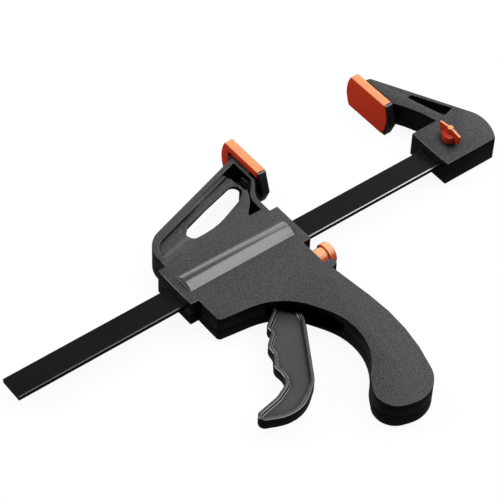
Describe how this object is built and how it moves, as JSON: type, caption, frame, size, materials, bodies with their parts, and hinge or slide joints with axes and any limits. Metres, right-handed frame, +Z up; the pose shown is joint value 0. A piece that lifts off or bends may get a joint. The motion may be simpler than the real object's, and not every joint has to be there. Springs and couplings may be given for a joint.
{
  "type": "quick release bar clamp",
  "caption": "Quick release bar clamp with a squeeze trigger, a push-button release and soft orange pads on a flat steel bar.",
  "frame": {"origin": "middle of the footprint, on the plane that the pads' lower ends lie on", "axes": "+X along the bar towards the fixed jaw, +Y from the bar towards the pads, +Z up across the bar's flat side"},
  "size_m": [0.4302, 0.2752, 0.0379],
  "materials": {
    "grey_moulding": "fine spark-eroded grain, dark grey",
    "black_moulding": "satin black",
    "orange_moulding": "smooth orange",
    "orange_soft": "soft matt orange red",
    "bar_steel": "dark oiled faces with bright broken edges",
    "plate_steel": "hardened, dull",
    "spring_steel": "drawn wire",
    "zinc_steel": "zinc plated"
  },
  "bodies": {
    "handle_body": {"casing_upper": "grey_moulding", "casing_lower": "grey_moulding", "casing_screws": "zinc_steel", "trigger_pin": "zinc_steel", "drive_spring": "spring_steel", "brake_spring": "spring_steel", "moving_pad_carrier": "black_moulding", "moving_pad": "orange_soft"},
    "bar_body": {"bar": "bar_steel", "fixed_jaw": "grey_moulding", "fixed_pad_carrier": "black_moulding", "fixed_pad": "orange_soft", "clamp_nut": "zinc_steel"},
    "trigger_body": {"trigger": "grey_moulding"},
    "drive_body": {"drive_plate_front": "plate_steel", "drive_plate_back": "plate_steel"},
    "brake_body": {"brake_plate": "plate_steel"},
    "button_body": {"release_button": "orange_moulding"},
    "wing_body": {"wing_knob": "orange_moulding", "clamp_screw": "zinc_steel"}
  },
  "joints": [
    {"name": "bar_slide", "type": "slide", "parent": "handle_body", "child": "bar_body", "axis": [1, 0, 0], "range_m": [-0.1145, 0.125]},
    {"name": "trigger_squeeze", "type": "hinge", "parent": "handle_body", "child": "trigger_body", "pos_m": [-0.01943, 0.00618, 0.01475], "axis": [0, 0, 1], "range_deg": [0, 25], "stiffness_Nm_per_rad": 1.2, "springref_deg": -14.32},
    {"name": "drive_step", "type": "slide", "parent": "handle_body", "child": "drive_body", "axis": [-1, 0, 0], "range_m": [0, 0.0066], "deforming": ["drive_spring"]},
    {"name": "button_press", "type": "slide", "parent": "handle_body", "child": "button_body", "axis": [-1, 0, 0], "range_m": [0, 0.003], "stiffness_N_per_m": 2500, "springref_m": -0.002},
    {"name": "brake_tilt", "type": "hinge", "parent": "handle_body", "child": "brake_body", "pos_m": [0.01257, 0.05318, 0.01475], "axis": [0, 0, -1], "range_deg": [0, 4.2], "deforming": ["brake_spring"]},
    {"name": "wing_turn", "type": "hinge", "parent": "bar_body", "child": "wing_body", "pos_m": [0.17847, 0.04018, 0.02675], "axis": [0, 0, 1], "continuous": true}
  ],
  "couplings": [
    {"joint": "drive_step", "follows": "trigger_squeeze", "m_per_rad": 0.01488},
    {"joint": "brake_tilt", "follows": "button_press", "rad_per_m": 23.56}
  ]
}
